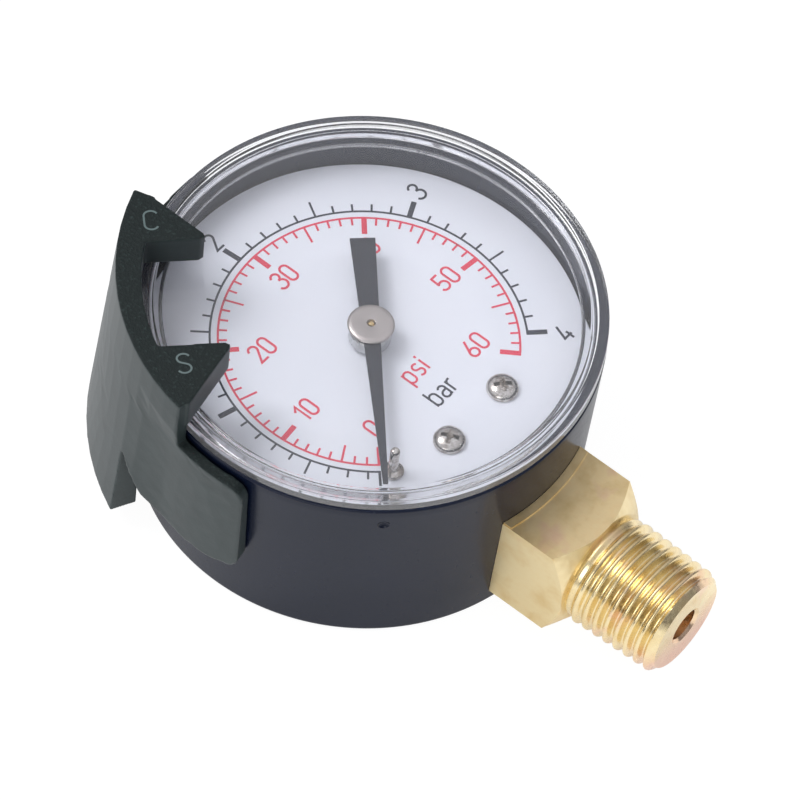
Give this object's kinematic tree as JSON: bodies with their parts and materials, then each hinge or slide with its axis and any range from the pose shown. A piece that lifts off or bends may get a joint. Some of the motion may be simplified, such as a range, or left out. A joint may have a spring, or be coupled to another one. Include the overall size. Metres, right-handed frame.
{
  "type": "pressure gauge",
  "caption": "Small round dial pressure gauge with a brass bottom-entry threaded stem, a dual-scale printed dial, a domed window and a turning indicator clip.",
  "frame": {"origin": "centre of the flat case back, on the axis of the pointer", "axes": "+Z out through the dial, +Y to the top of the dial, the threaded stem points along -Y"},
  "size_m": [0.0547, 0.075, 0.032],
  "materials": {
    "black_case": "semi-gloss black lacquer with light orange peel",
    "black_screw": "blackened steel, satin",
    "clear_lens": "clear moulded polycarbonate, polished",
    "printed_dial": "white lacquer with red and dark grey print, satin",
    "nickel_screw": "bright nickel plate",
    "nickel_hub": "fine-turned nickel plate, satin",
    "brass_stem": "machined brass, drawn flats and turned faces",
    "brass_works": "stamped and tumbled brass, satin",
    "bronze": "phosphor bronze, drawn, satin",
    "steel": "turned steel, satin",
    "pointer_black": "dark grey lacquer, matt",
    "green_clip": "moulded plastic, spark-eroded texture on top, smooth outside"
  },
  "bodies": {
    "case": {"case_cup": "black_case", "case_screw_left": "black_screw", "case_screw_right": "black_screw", "lens": "clear_lens", "dial_plate": "printed_dial", "dial_screw_left": "nickel_screw", "dial_screw_right": "nickel_screw", "stop_pin": "nickel_screw", "socket_stem": "brass_stem", "restrictor_screw": "bronze", "bourdon_tube": "bronze", "movement_base_plate": "brass_works", "movement_top_plate": "brass_works", "base_plate_screw_left": "steel", "base_plate_screw_right": "steel", "movement_pillar_left": "brass_works", "movement_pillar_right": "brass_works", "top_plate_screw_left": "steel", "top_plate_screw_right": "steel", "hairspring": "bronze", "hairspring_stud": "brass_works"},
    "sector": {"sector_gear": "brass_works", "sector_arbor": "steel", "link_pin_tail": "steel"},
    "pointer_group": {"pinion_arbor": "brass_works", "hairspring_collet": "brass_works", "pointer": "pointer_black", "pointer_bush": "nickel_screw", "pointer_hub": "nickel_hub"},
    "link": {"connecting_link": "brass_works"},
    "tube_tip": {"tube_end_piece": "brass_works", "link_pin_tip": "steel"},
    "clip": {"indicator_clip": "green_clip"}
  },
  "joints": [
    {"name": "sector_swing", "type": "hinge", "parent": "case", "child": "sector", "pos_m": [0.00701, -0.00821, 0.011], "axis": [0, 0, 1], "range_deg": [0, 34.75], "stiffness_Nm_per_rad": 0.02},
    {"name": "pointer_spin", "type": "hinge", "parent": "case", "child": "pointer_group", "pos_m": [0, 0, 0.011], "axis": [0, 0, 1], "range_deg": [-278.1, 0], "deforming": ["hairspring"]},
    {"name": "link_swing", "type": "hinge", "parent": "sector", "child": "link", "pos_m": [0.0099, -0.01166, 0.01], "axis": [0, 0, 1], "range_deg": [-33.1, 0]},
    {"name": "tube_tip_swing", "type": "hinge", "parent": "case", "child": "tube_tip", "pos_m": [-0.003, 0.00471, 0.01], "axis": [0, 0, 1], "range_deg": [0, 7.9], "deforming": ["bourdon_tube"]},
    {"name": "clip_turn", "type": "hinge", "parent": "case", "child": "clip", "pos_m": [0, 0, 0.02], "axis": [0, 0, 1], "range_deg": [-152, 58]}
  ],
  "couplings": [
    {"joint": "pointer_spin", "follows": "sector_swing", "ratio": -8},
    {"joint": "link_swing", "follows": "sector_swing", "ratio": -0.95},
    {"joint": "tube_tip_swing", "follows": "sector_swing", "ratio": 0.2246}
  ]
}
